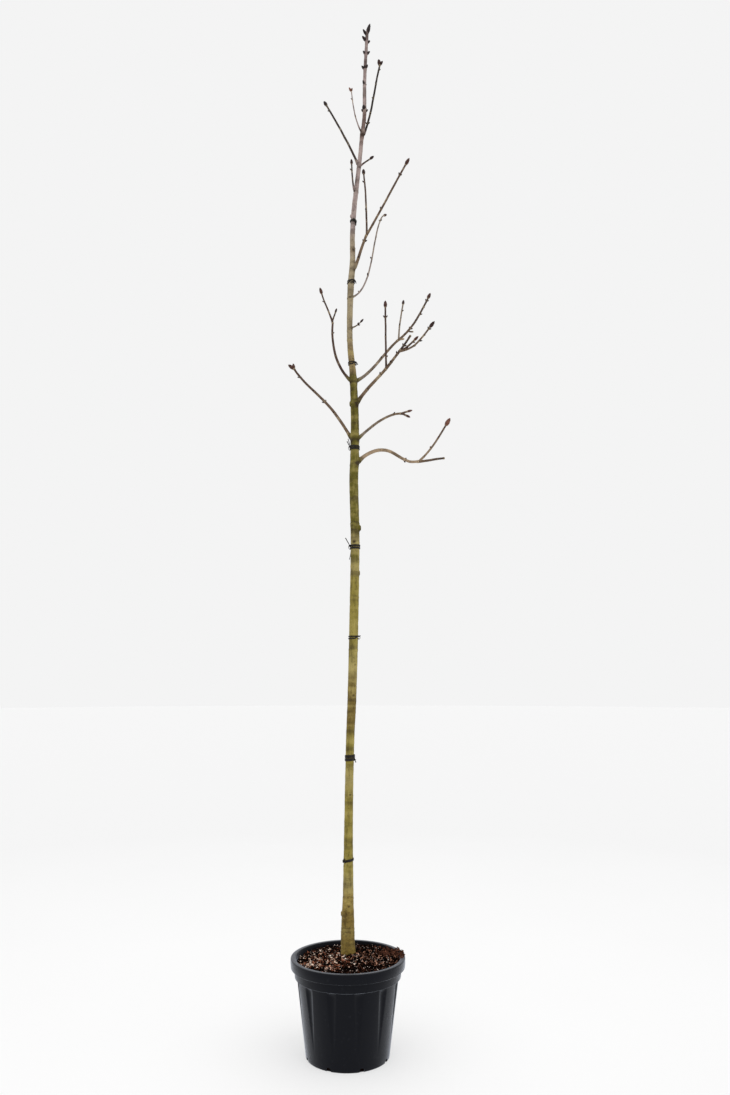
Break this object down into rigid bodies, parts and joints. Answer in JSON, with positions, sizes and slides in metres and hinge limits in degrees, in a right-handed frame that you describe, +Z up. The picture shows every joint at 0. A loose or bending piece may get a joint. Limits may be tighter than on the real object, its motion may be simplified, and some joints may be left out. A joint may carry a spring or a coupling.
{
  "type": "potted sapling",
  "caption": "Leafless young broadleaf tree with a straight slender trunk, sparse rising boughs and winter buds, rooted in a filled round black nursery pot.",
  "frame": {"origin": "centre of the pot's flat underside, on the ground", "axes": "+Z up the trunk; +X to the side where the lowest bough reaches out; +Y to the back, where the trunk stands off centre"},
  "size_m": [0.6457, 0.4313, 4.0178],
  "materials": {
    "pot": "satin charcoal black moulded plastic",
    "potting_mix": "rough, moist shredded bark and mix",
    "trunk_bark": "smooth young bark, olive brown low down and grey brown above",
    "bough_bark": "grey brown shoot bark with pale dots",
    "twigs": "grey brown twig bark with dark red brown buds",
    "tie": "matt soft black strip"
  },
  "bodies": {
    "root": {"bough_01_lowest_right": "bough_bark", "bough_02_curved_right": "bough_bark", "bough_03_low_left": "bough_bark", "bough_04_main_right": "bough_bark", "bough_05_upper_right": "bough_bark", "bough_06_forked_left": "bough_bark", "bough_07_small_spur": "bough_bark", "bough_08_slender_right": "bough_bark", "bough_09_long_right": "bough_bark", "bough_10_short_left": "bough_bark", "bough_11_short_right": "bough_bark", "bough_12_long_left": "bough_bark", "bough_13_top_left": "bough_bark", "bough_14_top_right": "bough_bark", "pot": "pot", "potting_mix": "potting_mix", "tie_1": "tie", "tie_2": "tie", "tie_3": "tie", "tie_4": "tie", "tie_5": "tie", "tie_6": "tie", "tie_7": "tie", "tie_8": "tie", "trunk": "trunk_bark", "twigs_01_lowest_right": "twigs", "twigs_02_curved_right": "twigs", "twigs_04_main_right": "twigs", "twigs_05_upper_right": "twigs", "twigs_06_forked_left": "twigs", "twigs_09_long_right": "twigs"}
  },
  "joints": []
}
